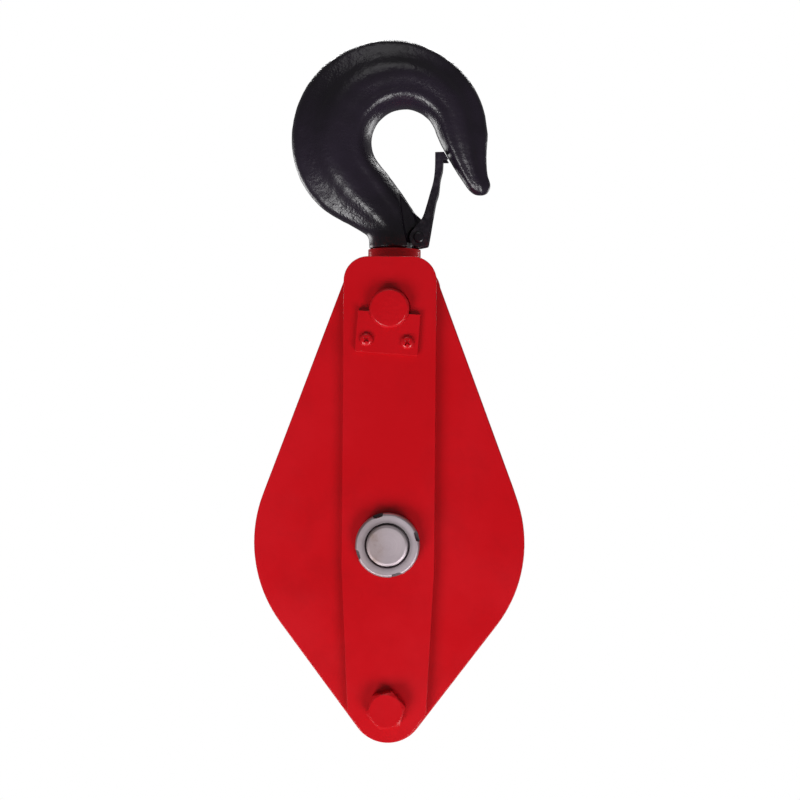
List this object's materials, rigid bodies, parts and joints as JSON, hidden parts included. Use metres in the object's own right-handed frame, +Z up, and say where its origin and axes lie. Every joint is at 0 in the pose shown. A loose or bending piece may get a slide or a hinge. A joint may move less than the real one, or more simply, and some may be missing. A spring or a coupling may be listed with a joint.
{
  "type": "double sheave block",
  "caption": "Steel pulley block for wire rope: two grooved sheaves side by side between plates, hung from a swivelling hook with a safety latch.",
  "frame": {"origin": "top of the inside of the hook's bowl, on the hook shank's axis, in the hook's middle plane", "axes": "+Z up along the hook shank, away from the sheaves; -Y is the front face, with the tie bolt's head; the sheave axle lies along Y; +X is the side of the hook's point"},
  "size_m": [0.1912, 0.1385, 0.5049],
  "materials": {
    "red_paint": "glossy red paint over plate and fasteners",
    "black_enamel": "black enamel over a forged surface",
    "bare_steel": "turned bare steel, faintly stained",
    "zinc_steel": "zinc plated steel",
    "bearing_steel": "ground and polished, with a film of grease",
    "bronze": "turned bronze",
    "cast_iron": "cast and painted dark grey, with a turned groove"
  },
  "bodies": {
    "hook": {"hook": "black_enamel", "latch_pin": "black_enamel", "bearing_lower_washer": "bearing_steel", "hook_nut": "zinc_steel", "hook_nut_pin": "zinc_steel"},
    "latch": {"safety_latch": "black_enamel", "latch_spring": "zinc_steel"},
    "crosshead": {"crosshead": "red_paint", "bearing_upper_washer": "bearing_steel"},
    "bearing_cage": {"bearing_cage": "bronze", "bearing_ball_01": "bearing_steel", "bearing_ball_02": "bearing_steel", "bearing_ball_03": "bearing_steel", "bearing_ball_04": "bearing_steel", "bearing_ball_05": "bearing_steel", "bearing_ball_06": "bearing_steel", "bearing_ball_07": "bearing_steel", "bearing_ball_08": "bearing_steel", "bearing_ball_09": "bearing_steel", "bearing_ball_10": "bearing_steel", "bearing_ball_11": "bearing_steel", "bearing_ball_12": "bearing_steel"},
    "frame": {"front_strap": "red_paint", "rear_strap": "red_paint", "front_cheek": "red_paint", "rear_cheek": "red_paint", "middle_plate": "red_paint", "front_keeper_plate": "red_paint", "rear_keeper_plate": "red_paint", "front_keeper_screw_left": "red_paint", "front_keeper_screw_right": "red_paint", "rear_keeper_screw_left": "red_paint", "rear_keeper_screw_right": "red_paint", "tie_bolt": "red_paint", "tie_bolt_washer": "red_paint", "tie_bolt_nut": "red_paint", "front_spacer_tube": "bare_steel", "rear_spacer_tube": "bare_steel", "axle": "bare_steel", "front_axle_nut": "bare_steel", "rear_axle_nut": "bare_steel"},
    "front_sheave": {"front_sheave": "cast_iron", "front_bush": "bronze"},
    "rear_sheave": {"rear_sheave": "cast_iron", "rear_bush": "bronze"}
  },
  "joints": [
    {"name": "hook_swivel", "type": "hinge", "parent": "hook", "child": "crosshead", "pos_m": [0, 0, -0.1475], "axis": [0, 0, 1], "continuous": true},
    {"name": "bearing_cage_orbit", "type": "hinge", "parent": "hook", "child": "bearing_cage", "pos_m": [0, 0, -0.1739], "axis": [0, 0, 1], "continuous": true},
    {"name": "block_rock", "type": "hinge", "parent": "crosshead", "child": "frame", "pos_m": [0, 0, -0.1475], "axis": [0, 1, 0], "range_deg": [-90, 90]},
    {"name": "front_sheave_spin", "type": "hinge", "parent": "frame", "child": "front_sheave", "pos_m": [0, -0.0215, -0.3122], "axis": [0, 1, 0], "continuous": true},
    {"name": "rear_sheave_spin", "type": "hinge", "parent": "frame", "child": "rear_sheave", "pos_m": [0, 0.0215, -0.3122], "axis": [0, 1, 0], "continuous": true},
    {"name": "latch_hinge", "type": "hinge", "parent": "hook", "child": "latch", "pos_m": [0.0182, 0, -0.0937], "axis": [0, -1, 0], "range_deg": [0, 35], "stiffness_Nm_per_rad": 0.3, "springref_deg": -20.05, "deforming": ["latch_spring"]}
  ],
  "couplings": [
    {"joint": "bearing_cage_orbit", "follows": "hook_swivel", "ratio": 0.5}
  ]
}
